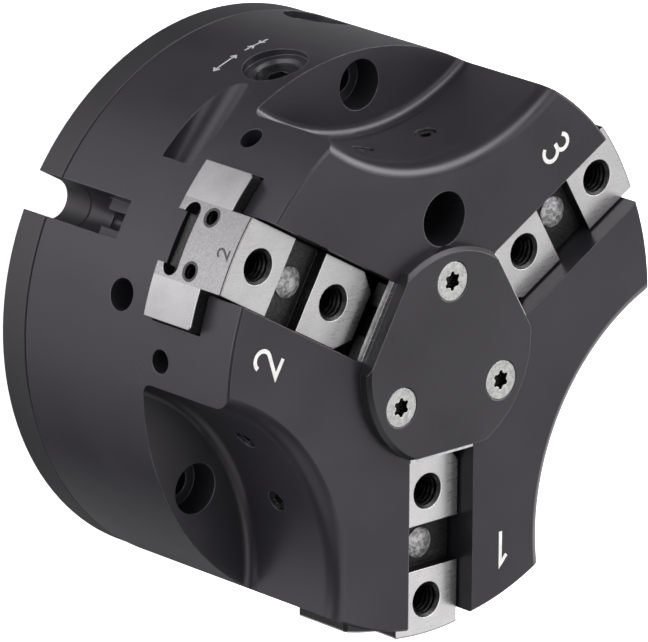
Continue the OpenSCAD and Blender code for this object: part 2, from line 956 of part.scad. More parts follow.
module wiper_plate() {
    tab_w = stem_w + 2 * stem_gap - 0.4;
    color("#c9cbcc")
        translate([0, 0, wiper_z])
            difference() {
                union() {
                    cylinder(r = wiper_r, h = wiper_t);
                    at_jaws()
                        radial_block(0, centre_flat + wiper_show, tab_w, 0, wiper_t);
                }
                at_centre_screws()
                    translate([0, 0, -past])
                        cylinder(d = screw_d + 2 * cap_clear, h = wiper_t + 2 * past);
            }
}

module centre_cover_screws() {
    head_r = sunk_head_d / 2;
    head_h = head_r - screw_d / 2;
    top = body_h + centre_h - centre_screw_sunk;
    lobe_circle = 0.33 * screw_d;
    color("#b9bbbd")
        at_centre_screws()
            difference() {
                union() {
                    translate([0, 0, top - head_h])
                        cylinder(r1 = screw_d / 2, r2 = head_r, h = head_h);
                    translate([0, 0, slot_z1 + 0.6])
                        cylinder(d = screw_d, h = top - head_h - slot_z1 - 0.6);
                }
                translate([0, 0, top - 1.8]) {
                    cylinder(r = lobe_circle, h = 1.8 + past, $fn = 24);
                    for (a = [0:60:300])
                        rotate([0, 0, a])
                            translate([lobe_circle, 0, 0])
                                cylinder(d = 0.22 * screw_d, h = 1.8 + past, $fn = 24);
                }
            }
}

// ---- Plugs in the side wall ----

module port_plugs() {
    plug_l = port_depth - 1.6;
    socket = port_d * 0.5;
    places = [[port_a_angle, port_a_z], [port_b_angle, port_b_z]];
    color("#8f9296")
        for (p = places)
            rotate([0, 0, p[0]])
                difference() {
                    radial_bar(port_d / 2 - seat_gap, port_floor_r - 1.4 - plug_l,
                        port_floor_r - 1.4, p[1]);
                    translate([port_floor_r - 1.4 - plug_l / 2, 0, p[1]])
                        rotate([0, 90, 0])
                            cylinder(d = socket, h = plug_l, $fn = 6);
                }
}

module duct_plugs() {
    sunk = 0.4;
    color("#7e8185")
        at_duct_plugs()
            difference() {
                translate([0, 0, sunk])
                    cylinder(d = duct_plug_d, h = duct_plug_l);
                translate([0, 0, sunk - past])
                    cylinder(d = duct_plug_d * 0.5, h = 2 + past, $fn = 6);
            }
}

// ---- Values that several pieces share ----
face_hole_out = face_hole_r + face_hole_d / 2 + pocket_rim_r;
mount_sink_in = mount_r - mount_sink_d / 2;
pocket_wall_r = face_hole_out + pocket_share * (mount_sink_in - face_hole_out);
pocket_axis_r = pocket_wall_r + pocket_r;
bracket_z = well_floor + 0.9;
grease_z = wing_z0 + 3.9;
duct_plug_z = wing_z0 + 10;
bush_r = rod_r + 2.2;
bush_z0 = chamber_top + 1;
bush_h = (wall_t - 1) / 2;
o_ring_d = 1.5;
o_ring_r = bore_r + 1.6;
cap_clear = 0.25;
cap_head_z = 0.4;
pin_l = 8;
seal_w = 3;
seal_z0 = piston_z1 - 1.2 - seal_w;
seal_in_r = bore_r - 3.2;
guide_w = 2.6;
guide_z0 = piston_z0 + 1.7;
guide_in_r = bore_r - 1.8;
magnet_out_r = bore_r - 5;
magnet_in_r = magnet_out_r - 4;
magnet_h = 3;
spigot_r = 6;
spigot_h = 2;
wedge_screw_grip = 14;
wedge_head_d = wedge_screw_d * 5 / 3;
wedge_head_z = jaw_top - wedge_screw_d - 0.5;
wiper_r = centre_flat - 0.3;
centre_screw_sunk = 0.2;
jaw_plug_l = 4;
port_floor_r = body_r - port_flat_depth;
port_depth = 8;
axial_duct_r = port_floor_r - port_depth + 2.2;
duct_plug_l = 5;

housing();
face_segment_1();
face_segment_2();
face_segment_3();
rear_cover();
rear_cover_screws();
alignment_pins();
cover_o_ring();
piston();
piston_seal();
piston_guide_ring();
piston_magnet();
rod_bush();
rod_seal();
wedge_hook();
wedge_screw();
base_jaw_1();
base_jaw_2();
base_jaw_3();
jaw_plug_1();
jaw_plug_2();
jaw_plug_3();
centre_cover();
wiper_plate();
centre_cover_screws();
port_plugs();
duct_plugs();
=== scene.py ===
"""Looks of the three jaw centric gripper: materials, marks, threads, studio and camera."""

import json
import math

import bpy
from mathutils import Matrix, Vector


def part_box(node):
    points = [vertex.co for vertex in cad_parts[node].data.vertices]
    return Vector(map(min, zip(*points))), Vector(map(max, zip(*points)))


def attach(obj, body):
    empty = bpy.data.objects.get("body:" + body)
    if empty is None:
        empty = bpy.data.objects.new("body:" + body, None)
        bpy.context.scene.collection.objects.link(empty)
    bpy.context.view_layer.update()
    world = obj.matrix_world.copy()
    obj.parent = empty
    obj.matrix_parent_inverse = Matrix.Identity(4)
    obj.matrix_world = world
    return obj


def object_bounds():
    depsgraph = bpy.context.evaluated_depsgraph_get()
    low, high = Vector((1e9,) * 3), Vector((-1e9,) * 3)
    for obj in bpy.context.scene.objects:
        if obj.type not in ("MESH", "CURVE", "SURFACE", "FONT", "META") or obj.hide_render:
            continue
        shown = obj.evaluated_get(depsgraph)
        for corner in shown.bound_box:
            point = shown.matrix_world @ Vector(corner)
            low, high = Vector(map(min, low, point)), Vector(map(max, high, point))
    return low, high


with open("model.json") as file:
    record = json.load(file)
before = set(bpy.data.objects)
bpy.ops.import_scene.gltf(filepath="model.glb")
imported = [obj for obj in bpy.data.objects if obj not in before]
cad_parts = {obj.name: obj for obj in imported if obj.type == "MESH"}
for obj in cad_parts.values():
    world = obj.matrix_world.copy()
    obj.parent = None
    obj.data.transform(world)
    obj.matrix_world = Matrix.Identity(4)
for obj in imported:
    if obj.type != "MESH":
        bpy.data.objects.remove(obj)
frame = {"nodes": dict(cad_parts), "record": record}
cad_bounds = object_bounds()

MM = 0.001
NODES = frame["nodes"]
MOUNTS = frame["record"]["mounts"]
JAW_ANGLES = {1: 270.0, 2: 150.0, 3: 30.0}

# Levels and radii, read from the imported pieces
BODY_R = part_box("housing")[1].x
FACE_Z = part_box("centre_cover")[0].z
SLOT_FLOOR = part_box("face_segment_1")[0].z
PARTING_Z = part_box("rear_cover")[1].z
SCREW_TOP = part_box("centre_cover_screws")[1].z
JAW_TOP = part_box("base_jaw_1")[1].z
JAW_END_R = -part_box("base_jaw_1")[0].y
# Half the width of a jaw between its wings
STEM_HALF = 9.0 * MM


# ---- Node helpers ----

def new_material(name):
    """An empty node material with its output and a Principled shader."""
    mat = bpy.data.materials.new(name)
    mat.use_nodes = True
    tree = mat.node_tree
    tree.nodes.clear()
    out = tree.nodes.new("ShaderNodeOutputMaterial")
    shader = tree.nodes.new("ShaderNodeBsdfPrincipled")
    tree.links.new(shader.outputs["BSDF"], out.inputs["Surface"])
    return mat, tree, shader


def node(tree, kind, **settings):
    """A node whose settings are named after its inputs or else after its properties."""
    made = tree.nodes.new(kind)
    for key, value in settings.items():
        if key in made.inputs:
            made.inputs[key].default_value = value
        else:
            setattr(made, key, value)
    return made


def object_coords(tree, turn=0.0, scale=(1, 1, 1)):
    """Object coordinates in metres, turned about Z and stretched."""
    coords = node(tree, "ShaderNodeTexCoord")
    mapping = node(tree, "ShaderNodeMapping", vector_type="POINT")
    mapping.inputs["Rotation"].default_value = (0, 0, -math.radians(turn))
    mapping.inputs["Scale"].default_value = scale
    tree.links.new(coords.outputs["Object"], mapping.inputs["Vector"])
    return mapping.outputs["Vector"]


def noise(tree, vector, scale, detail=3.0, roughness=0.55):
    """Smooth random values at this many waves a metre."""
    made = node(tree, "ShaderNodeTexNoise", Scale=scale, Detail=detail, Roughness=roughness)
    tree.links.new(vector, made.inputs["Vector"])
    return made.outputs["Fac"]


def ramp(tree, fac, low, high, start=0.35, stop=0.65):
    """Maps a value between start and stop to low and high, each a number or a socket."""
    made = node(tree, "ShaderNodeMapRange")
    made.inputs["From Min"].default_value = start
    made.inputs["From Max"].default_value = stop
    for socket, value in ((made.inputs["To Min"], low), (made.inputs["To Max"], high)):
        if isinstance(value, (int, float)):
            socket.default_value = value
        else:
            tree.links.new(value, socket)
    tree.links.new(fac, made.inputs["Value"])
    return made.outputs["Result"]


def shaded(colour, factor):
    """The colour made darker or lighter."""
    return tuple(c * factor for c in colour)


def mix_colour(tree, fac, a, b):
    """Colour a where fac is 0 and b where it is 1, each three numbers or a socket."""
    made = node(tree, "ShaderNodeMix", data_type="RGBA")
    tree.links.new(fac, made.inputs["Factor"])
    for socket, value in ((made.inputs[6], a), (made.inputs[7], b)):
        if isinstance(value, tuple):
            socket.default_value = (*value, 1.0)
        else:
            tree.links.new(value, socket)
    return made.outputs[2]


def rounded_normal(tree, radius):
    """The normal as if sharp edges were rounded by the radius."""
    made = node(tree, "ShaderNodeBevel", samples=6)
    made.inputs["Radius"].default_value = radius
    return made.outputs["Normal"]


def bump(tree, height, strength, distance, normal=None):
    """The normal, or a given one, bent by a height that spans a distance in metres."""
    made = node(tree, "ShaderNodeBump", Strength=strength, Distance=distance)
    tree.links.new(height, made.inputs["Height"])
    if normal is not None:
        tree.links.new(normal, made.inputs["Normal"])
    return made.outputs["Normal"]


def math_node(tree, operation, a, b=None):
    """One Math node, whose two values are each a number or a socket."""
    made = node(tree, "ShaderNodeMath", operation=operation)
    for socket, value in zip(made.inputs, (a, b)):
        if isinstance(value, (int, float)):
            socket.default_value = value
        elif value is not None:
            tree.links.new(value, socket)
    return made.outputs["Value"]


def position(tree):
    """Object coordinates as separate x, y and z, in metres."""
    coords = node(tree, "ShaderNodeTexCoord")
    parts = node(tree, "ShaderNodeSeparateXYZ")
    tree.links.new(coords.outputs["Object"], parts.inputs[0])
    return parts.outputs["X"], parts.outputs["Y"], parts.outputs["Z"]


def away_from_level(tree, level):
    """Height above or below a level, in metres."""
    return math_node(tree, "ABSOLUTE", math_node(tree, "SUBTRACT", position(tree)[2], level))


def off_joint(tree):
    """0 at the level where the housing's nodes meet and 1 from 0.6 mm away, as they are one piece."""
    return math_node(tree, "GREATER_THAN", away_from_level(tree, SLOT_FLOOR), 0.6 * MM)


def plain_near_joint(tree, normal):
    """The rounded normal, and the plain one near the level where the housing's nodes meet."""
    geometry = node(tree, "ShaderNodeNewGeometry")
    blend = node(tree, "ShaderNodeMix", data_type="VECTOR")
    tree.links.new(off_joint(tree), blend.inputs["Factor"])
    tree.links.new(geometry.outputs["Normal"], blend.inputs[4])
    tree.links.new(normal, blend.inputs[5])
    return blend.outputs[1]


def edge_mask(tree, radius):
    """Near 1 at a sharp edge and 0 on open faces."""
    bevel = rounded_normal(tree, radius)
    geometry = node(tree, "ShaderNodeNewGeometry")
    dot = node(tree, "ShaderNodeVectorMath", operation="DOT_PRODUCT")
    tree.links.new(bevel, dot.inputs[0])
    tree.links.new(geometry.outputs["Normal"], dot.inputs[1])
    return ramp(tree, dot.outputs["Value"], 1.0, 0.0, 0.80, 0.985)


# ---- Materials ----

# The slightly violet gloss of the anodised layer
ANODIC_TINT = (0.98, 0.93, 1.0, 1.0)
# The dark gap between the rear cover and the housing: half its height, colour and roughness
SEAM_HALF = 0.3 * MM
SEAM_BLACK = (0.003, 0.003, 0.003)
SEAM_ROUGH = 0.85


def anodised(name, base, edge, rough, grain=0.05, edge_radius=0.35 * MM, joint=False, seam=False):
    """Satin black anodised aluminium: fine blasted grain, faint cloudiness and paler edges, partly worn
    anodising and partly a painted highlight along the edges.

    joint is for the nodes of the housing, and seam for the pieces that meet at the parting line.
    """
    mat, tree, shader = new_material(name)
    coords = object_coords(tree)
    cloud = noise(tree, coords, 35.0, 4.0)
    grain_noise = noise(tree, coords, 3800.0, 2.0)
    body = mix_colour(tree, ramp(tree, cloud, 0.0, 1.0), shaded(base, 0.86), shaded(base, 1.14))
    pale_edge_noise = noise(tree, coords, 260.0, 3.0)
    # Paler edges: partly real wear of the anodising, partly a painted highlight standing in for the light
    # that sharp edges catch
    edge_wear_and_highlight = math_node(tree, "MULTIPLY", edge_mask(tree, edge_radius), ramp(tree, pale_edge_noise, 0.35, 1.0))
    if joint:
        edge_wear_and_highlight = math_node(tree, "MULTIPLY", edge_wear_and_highlight, off_joint(tree))
    colour = mix_colour(tree, edge_wear_and_highlight, body, edge)
    roughness = ramp(tree, cloud, rough - 0.04, rough + 0.05)
    if seam:
        gap = math_node(tree, "LESS_THAN", away_from_level(tree, PARTING_Z), SEAM_HALF)
        colour = mix_colour(tree, gap, colour, SEAM_BLACK)
        roughness = math_node(tree, "MAXIMUM", roughness, math_node(tree, "MULTIPLY", gap, SEAM_ROUGH))
    tree.links.new(colour, shader.inputs["Base Color"])
    tree.links.new(roughness, shader.inputs["Roughness"])
    shader.inputs["Specular IOR Level"].default_value = 0.5
    shader.inputs["Specular Tint"].default_value = ANODIC_TINT
    normal = rounded_normal(tree, edge_radius)
    if joint:
        normal = plain_near_joint(tree, normal)
    tree.links.new(bump(tree, grain_noise, grain, 0.02 * MM, normal), shader.inputs["Normal"])
    return mat


def ground_steel(name, base, rough, turn=0.0, stretch=(30, 1400, 1400), grain=0.10):
    """Bright ground steel with grinding marks along one direction and faint stains."""
    mat, tree, shader = new_material(name)
    streaks = noise(tree, object_coords(tree, turn, stretch), 1.0, 5.0, 0.7)
    stains = noise(tree, object_coords(tree), 120.0, 4.0)
    colour = mix_colour(tree, ramp(tree, stains, 0.0, 1.0, 0.25, 0.6), shaded(base, 0.80), base)
    tree.links.new(colour, shader.inputs["Base Color"])
    shader.inputs["Metallic"].default_value = 1.0
    tree.links.new(ramp(tree, streaks, rough - 0.06, rough + 0.10), shader.inputs["Roughness"])
    normal = rounded_normal(tree, 0.3 * MM)
    tree.links.new(bump(tree, streaks, grain, 0.02 * MM, normal), shader.inputs["Normal"])
    return mat


# Dull and bright shades of the jaw steel: hardened sides, ground top and end, and the end's middle
SIDE_SHADES = ((0.034, 0.033, 0.034), (0.066, 0.064, 0.066))
TOP_SHADES = ((0.72, 0.71, 0.71), (0.82, 0.81, 0.81))
END_SHADES = ((0.39, 0.38, 0.39), (0.46, 0.45, 0.46))
MIDDLE_SHADES = ((0.29, 0.28, 0.29), (0.38, 0.37, 0.38))
# Painted shade of each jaw's ground top: the three tops are made lighter or darker to stand in for the
# different light each one catches
JAW_PAINTED_SHADE = {1: 0.97, 2: 0.78, 3: 0.83}
# Depth below the jaw's top edge where its ground end starts; above it a painted dark line stands in for
# the dark reflection of the edge's chamfer
PAINTED_BAND_DEPTH = 0.45 * MM


def distances(tree, angle):
    """Distance from the gripper's axis, and from the middle plane of the jaw at an angle."""
    x, y, _ = position(tree)
    turn = math.radians(angle)
    squares = math_node(tree, "ADD", math_node(tree, "MULTIPLY", x, x), math_node(tree, "MULTIPLY", y, y))
    lateral = math_node(tree, "SUBTRACT", math_node(tree, "MULTIPLY", y, math.cos(turn)),
                        math_node(tree, "MULTIPLY", x, math.sin(turn)))
    return math_node(tree, "SQRT", squares), math_node(tree, "ABSOLUTE", lateral)


def jaw_steel(name, angle, painted_shade):
    """Dark hardened steel, ground bright on the jaw's top and end, rougher in the end's middle. Each
    jaw's top carries a painted shade of its own, and a painted dark line runs along the top of the end.
    """
    mat, tree, shader = new_material(name)
    across, lateral = distances(tree, angle)
    height = position(tree)[2]
    on_top = math_node(tree, "GREATER_THAN", height, JAW_TOP - 0.05 * MM)
    on_end = math_node(tree, "GREATER_THAN", across, JAW_END_R - 0.3 * MM)
    below_painted_band = math_node(tree, "LESS_THAN", height, JAW_TOP - PAINTED_BAND_DEPTH)
    end_middle = math_node(tree, "MULTIPLY", on_end, math_node(tree, "LESS_THAN", lateral, STEM_HALF))
    # The end above the painted dark line takes the dark side colour
    ground = math_node(tree, "MAXIMUM", on_top, math_node(tree, "MULTIPLY", on_end, below_painted_band))
    streaks = noise(tree, object_coords(tree, angle, (250, 1500, 1500)), 1.0, 5.0, 0.7)
    stains = noise(tree, object_coords(tree), 140.0, 4.0)
    grain = noise(tree, object_coords(tree), 2200.0, 3.0)
    stain_fac = ramp(tree, stains, 0.0, 1.0, 0.25, 0.6)
    grain_fac = ramp(tree, grain, 0.0, 1.0)
    # Painted shade: the top's colour is scaled by the jaw's own factor
    top = mix_colour(tree, stain_fac, shaded(TOP_SHADES[0], painted_shade), shaded(TOP_SHADES[1], painted_shade))
    end = mix_colour(tree, stain_fac, *END_SHADES)
    middle = mix_colour(tree, grain_fac, *MIDDLE_SHADES)
    bright = mix_colour(tree, on_end, top, mix_colour(tree, end_middle, end, middle))
    dark = mix_colour(tree, grain_fac, *SIDE_SHADES)
    tree.links.new(mix_colour(tree, ground, dark, bright), shader.inputs["Base Color"])
    shader.inputs["Metallic"].default_value = 1.0
    smooth = ramp(tree, streaks, 0.26, 0.32)
    tree.links.new(ramp(tree, ground, 0.42, smooth, 0.0, 1.0), shader.inputs["Roughness"])
    normal = bump(tree, grain, 0.10, 0.02 * MM, rounded_normal(tree, 0.25 * MM))
    tree.links.new(bump(tree, streaks, 0.02, 0.02 * MM, normal), shader.inputs["Normal"])
    return mat


# The shade inside the drive sockets of the cover's screws
SOCKET_DARK = (0.045, 0.044, 0.045)


def turned_steel(name, base, rough, socket_z=None):
    """Plated screw steel with fine random tool marks, dark in the drive sockets below socket_z."""
    mat, tree, shader = new_material(name)
    marks = noise(tree, object_coords(tree), 900.0, 5.0, 0.7)
    colour = mix_colour(tree, ramp(tree, marks, 0.0, 1.0), shaded(base, 0.82), base)
    if socket_z is not None:
        deep = math_node(tree, "LESS_THAN", position(tree)[2], socket_z)
        colour = mix_colour(tree, deep, colour, SOCKET_DARK)
    tree.links.new(colour, shader.inputs["Base Color"])
    shader.inputs["Metallic"].default_value = 1.0
    tree.links.new(ramp(tree, marks, rough - 0.05, rough + 0.12), shader.inputs["Roughness"])
    normal = rounded_normal(tree, 0.2 * MM)
    tree.links.new(bump(tree, marks, 0.15, 0.02 * MM, normal), shader.inputs["Normal"])
    return mat


def cast_metal(name, base, rough):
    """Rough pale cast metal, pitted."""
    mat, tree, shader = new_material(name)
    coords = object_coords(tree)
    pits = noise(tree, coords, 900.0, 4.0, 0.65)
    colour = mix_colour(tree, ramp(tree, pits, 0.0, 1.0, 0.40, 0.60), shaded(base, 0.35), base)
    tree.links.new(colour, shader.inputs["Base Color"])
    shader.inputs["Metallic"].default_value = 0.6
    tree.links.new(ramp(tree, pits, rough - 0.1, rough + 0.15), shader.inputs["Roughness"])
    tree.links.new(bump(tree, pits, 0.9, 0.25 * MM), shader.inputs["Normal"])
    return mat


def plain_coat(name, base, rough, metallic=0.0, scale=600.0):
    """Rubber, plastic or marking paint with a slight mottle."""
    mat, tree, shader = new_material(name)
    mottle = noise(tree, object_coords(tree), scale, 3.0)
    colour = mix_colour(tree, ramp(tree, mottle, 0.0, 1.0), shaded(base, 0.85), base)
    tree.links.new(colour, shader.inputs["Base Color"])
    shader.inputs["Metallic"].default_value = metallic
    tree.links.new(ramp(tree, mottle, rough - 0.05, rough + 0.05), shader.inputs["Roughness"])
    tree.links.new(bump(tree, mottle, 0.1, 0.02 * MM), shader.inputs["Normal"])
    return mat


def dress(names, mat):
    """Gives CAD nodes one material."""
    for name in names:
        mesh = NODES[name].data
        mesh.materials.clear()
        mesh.materials.append(mat)


# The second colour of each black is its paler edge colour, partly wear and partly a painted highlight
BLACK = anodised("housing_anodised", (0.014, 0.0130, 0.0160), (0.11, 0.11, 0.115), 0.31,
                 joint=True, seam=True)
PLATE_BLACK = anodised("rear_cover_anodised", (0.015, 0.0145, 0.016), (0.09, 0.09, 0.095), 0.46,
                       0.18, seam=True)
COVER_BLACK = anodised("cover_anodised", (0.016, 0.0155, 0.018), (0.14, 0.14, 0.145), 0.31)
JAW_STEEL = {i: jaw_steel(f"jaw_steel_{i}", JAW_ANGLES[i], JAW_PAINTED_SHADE[i]) for i in JAW_ANGLES}
SCREW = turned_steel("screw_steel", (0.66, 0.66, 0.65), 0.26)
COVER_SCREW = turned_steel("cover_screw_steel", (0.66, 0.66, 0.65), 0.26, SCREW_TOP - 0.25 * MM)
PLUG_STEEL = turned_steel("plug_steel", (0.16, 0.16, 0.165), 0.26)
MOUTH_STEEL = turned_steel("hole_mouth_steel", (0.09, 0.088, 0.09), 0.40)
BRONZE = turned_steel("bush_bronze", (0.55, 0.40, 0.18), 0.32)
WIPER = ground_steel("wiper_steel", (0.78, 0.78, 0.77), 0.20)
ALUMINIUM = ground_steel("piston_aluminium", (0.62, 0.63, 0.65), 0.30)
CAST = cast_metal("cast_plug", (0.50, 0.49, 0.50), 0.42)
WIPER_EDGE = plain_coat("wiper_edge_steel", (0.72, 0.71, 0.72), 0.34, 1.0, 900.0)
RUBBER = plain_coat("seal_rubber", (0.025, 0.025, 0.027), 0.6)
GUIDE = plain_coat("guide_plastic", (0.20, 0.14, 0.07), 0.5)
MAGNET = plain_coat("magnet_grey", (0.12, 0.12, 0.13), 0.55)
MARK_WHITE = plain_coat("mark_white", (0.78, 0.78, 0.76), 0.5)
MARK_GREY = plain_coat("mark_grey", (0.045, 0.044, 0.047), 0.55)
MARK_PALE = plain_coat("mark_pale", (0.30, 0.30, 0.31), 0.50)


def dress_nodes():
    """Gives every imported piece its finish."""
    dress(["housing", "face_segment_1", "face_segment_2", "face_segment_3"], BLACK)
    dress(["rear_cover"], PLATE_BLACK)
    dress(["centre_cover"], COVER_BLACK)
    dress(["centre_cover_screws"], COVER_SCREW)
    dress(["rear_cover_screws", "alignment_pins", "wedge_screw"], SCREW)
    dress(["port_plugs", "duct_plugs"], PLUG_STEEL)
    dress(["wiper_plate"], WIPER)
    dress(["piston"], ALUMINIUM)
    dress(["wedge_hook"], JAW_STEEL[1])
    dress(["cover_o_ring", "piston_seal", "rod_seal"], RUBBER)
    dress(["rod_bush"], BRONZE)
    dress(["piston_guide_ring"], GUIDE)
    dress(["piston_magnet"], MAGNET)
    for i in JAW_ANGLES:
        dress([f"base_jaw_{i}"], JAW_STEEL[i])
        dress([f"jaw_plug_{i}"], CAST)


# ---- Mesh helpers ----

def mesh_object(name, verts, faces, mat, smooth=False):
    """A mesh of plain points and faces, in the scene."""
    mesh = bpy.data.meshes.new(name)
    mesh.from_pydata(verts, [], faces)
    mesh.validate()
    mesh.update()
    if smooth:
        mesh.shade_smooth()
    mesh.materials.append(mat)
    made = bpy.data.objects.new(name, mesh)
    bpy.context.scene.collection.objects.link(made)
    return made


def at_angle(angle):
    """The turn about the gripper's axis that brings +X to an angle in degrees."""
    return Matrix.Rotation(math.radians(angle), 4, "Z")


def stroke_outline(points, width):
    """Quads along an open line of 2-D points, with mitred joints: (verts, faces)."""
    line = [Vector(p) for p in points]
    ways = [(b - a).normalized() for a, b in zip(line, line[1:])]
    sides = [Vector((-way.y, way.x)) for way in ways]
    verts = []
    for p, before, after in zip(line, sides[:1] + sides, sides + sides[-1:]):
        mitre = (before + after).normalized()
        reach = width / 2 / max(0.4, mitre.dot(before))
        verts += [p + mitre * reach, p - mitre * reach]
    faces = [(2 * i, 2 * i + 1, 2 * i + 3, 2 * i + 2) for i in range(len(ways))]
    return verts, faces


def arc(cx, cy, r, start, stop, steps=12):
    """Points of an arc between two angles in degrees."""
    return [
        (cx + r * math.cos(math.radians(start + (stop - start) * k / steps)),
         cy + r * math.sin(math.radians(start + (stop - start) * k / steps)))
        for k in range(steps + 1)
    ]


def digit_lines(i):
    """Centre lines of the plain digits 1, 2 and 3 in a box 0.6 wide and 1 high."""
    if i == 1:
        return [[(0.08, 0.74), (0.32, 1.0), (0.32, 0.0)]]
    if i == 2:
        top = arc(0.30, 0.72, 0.28, 170, -35)
        return [top + [(0.03, 0.0), (0.60, 0.0)]]
    upper = arc(0.29, 0.765, 0.235, 150, -90)
    lower = arc(0.29, 0.27, 0.27, 90, -150)
    return [upper + [(0.17, 0.53)], [(0.17, 0.54)] + lower]


def thicken(verts, faces, place, depth):
    """Turns flat quads into a thin closed plate: place(x, y, height) gives each 3-D point."""
    count = len(verts)
    top = [place(v.x, v.y, depth / 2) for v in verts]
    low = [place(v.x, v.y, -depth / 2) for v in verts]
    solid = list(faces) + [tuple(count + k for k in reversed(f)) for f in faces]
    edges = dict.fromkeys(edge for f in faces for edge in zip(f, f[1:] + f[:1]))
    solid += [(b, a, count + a, count + b) for a, b in edges if (b, a) not in edges]
    return top + low, solid


def digit(name, i, height, stroke, place, depth, mat, body):
    """A plain digit of thin plates, one for each stroke and each a little higher than the last."""
    verts, faces = [], []
    for k, line in enumerate(digit_lines(i)):
        points = [((x - 0.31) * height, (y - 0.5) * height) for x, y in line]
        flat, quads = stroke_outline(points, stroke)
        plate, solid = thicken(flat, quads, lambda x, y, z: place(x, y, z + 0.01 * MM * k), depth)
        faces += [tuple(n + len(verts) for n in f) for f in solid]
        verts += plate
    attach(mesh_object(name, verts, faces, mat), body)


# ---- Marks ----

# Thickness of the marks, half of it sunk in the surface
MARK_DEPTH = 0.05 * MM


def face_digits():
    """White jaw numbers on the face, beside each jaw, read from outside."""
    along, beside = 48.7 * MM, 18.0 * MM
    for i, angle in JAW_ANGLES.items():
        turn = at_angle(angle)

        def place(x, y, z, turn=turn):
            return turn @ Vector((along + y, beside - x, FACE_Z + z))

        digit(f"face_digit_{i}", i, 7.6 * MM, 0.95 * MM, place, 0.06 * MM, MARK_WHITE, "housing")


def end_digits():
    """Small numbers in the middle of each jaw's end, read with the gripper's rear side up."""
    beside, below = 0.3 * MM, 3.4 * MM
    for i, angle in JAW_ANGLES.items():
        turn = at_angle(angle)

        def place(x, y, z, turn=turn):
            along = math.sqrt(JAW_END_R ** 2 - x ** 2) + z
            return turn @ Vector((along, beside - x, JAW_TOP - below - y))

        digit(f"end_digit_{i}", i, 3.3 * MM, 0.52 * MM, place, MARK_DEPTH, MARK_GREY, f"jaw_{i}")


def jaw_mounts(word):
    """The record's jaw mounts whose kind or name holds a word, each with its jaw's number."""
    return [
        (int(mount["name"].split("_")[1]), mount)
        for mount in MOUNTS
        if word in mount["kind"] or word in mount["name"]
    ]


def end_hole_mouths():
    """The dark countersunk mouths of the two small threads in each jaw's end."""
    steps, width, lift = 36, 0.62 * MM, 0.035 * MM
    for jaw, mount in jaw_mounts("end_thread"):
        turn = at_angle(JAW_ANGLES[jaw])
        centre = at_angle(-JAW_ANGLES[jaw]) @ Vector(mount["pos_m"])
        inner = mount["dims"]["r_mm"] * MM
        outer = inner + width
        verts = []
        for r, out in ((inner, lift), (outer, lift), (outer, -lift), (inner, -lift)):
            for k in range(steps):
                a = 2 * math.pi * k / steps
                y = centre.y + r * math.cos(a)
                reach = math.sqrt(JAW_END_R ** 2 - y ** 2) + out
                verts.append(turn @ Vector((reach, y, centre.z + r * math.sin(a))))
        faces = []
        for ring in range(4):
            low, high = ring * steps, (ring + 1) % 4 * steps
            for k in range(steps):
                n = (k + 1) % steps
                faces.append((low + k, low + n, high + n, high + k))
        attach(mesh_object(f"mouth_{mount['name']}", verts, faces, MOUTH_STEEL), f"jaw_{jaw}")


def on_wall(x, y, z, angle, height):
    """A point on the housing's wall: x runs round it, y up it and z out of it."""
    turn = math.radians(angle) + x / BODY_R
    r = BODY_R + z
    return Vector((r * math.cos(turn), r * math.sin(turn), height + y))


def wall_symbols():
    """Two plain arrow signs on the wall for the two air ports: apart and together."""
    height, stroke, half, barb = 26.3 * MM, 0.45 * MM, 3.4 * MM, 0.9 * MM
    shaft = [(half * (k / 4 - 1), 0.0) for k in range(9)]
    signs = (("apart", 109.2, half, half - 1.0 * MM), ("together", 100.5, barb, barb + 1.0 * MM))
    for name, angle, tip, foot in signs:
        lines = [shaft]
        for side in (-1, 1):
            lines.append([(side * foot, barb), (side * tip, 0.0), (side * foot, -barb)])
        verts, faces = [], []
        for line in lines:
            flat, quads = stroke_outline(line, stroke)
            faces += [tuple(k + len(verts) for k in q) for q in quads]
            verts += flat

        def place(x, y, z, angle=angle):
            return on_wall(x, y, z, angle, height)

        plate, solid = thicken(verts, faces, place, MARK_DEPTH)
        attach(mesh_object(f"port_sign_{name}", plate, solid, MARK_PALE), "housing")


# ---- Wiper edges ----

def wiper_edges():
    """The bright outer edges of the wiper plate, past the cover's flats in front of each jaw."""
    low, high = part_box("wiper_plate")
    start, reach = -low.y - 0.05 * MM, -low.y + 0.75 * MM
    half = STEM_HALF + 0.3 * MM
    foot = high.z - 0.6 * MM
    faces = [(0, 1, 3, 2), (4, 6, 7, 5), (0, 4, 5, 1), (2, 3, 7, 6), (0, 2, 6, 4), (1, 5, 7, 3)]
    for i, angle in JAW_ANGLES.items():
        turn = at_angle(angle)
        verts = [
            turn @ Vector((r, y, z))
            for z in (foot, high.z) for r in (start, reach) for y in (-half, half)
        ]
        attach(mesh_object(f"wiper_edge_{i}", verts, faces, WIPER_EDGE), "housing")


# ---- Threads ----

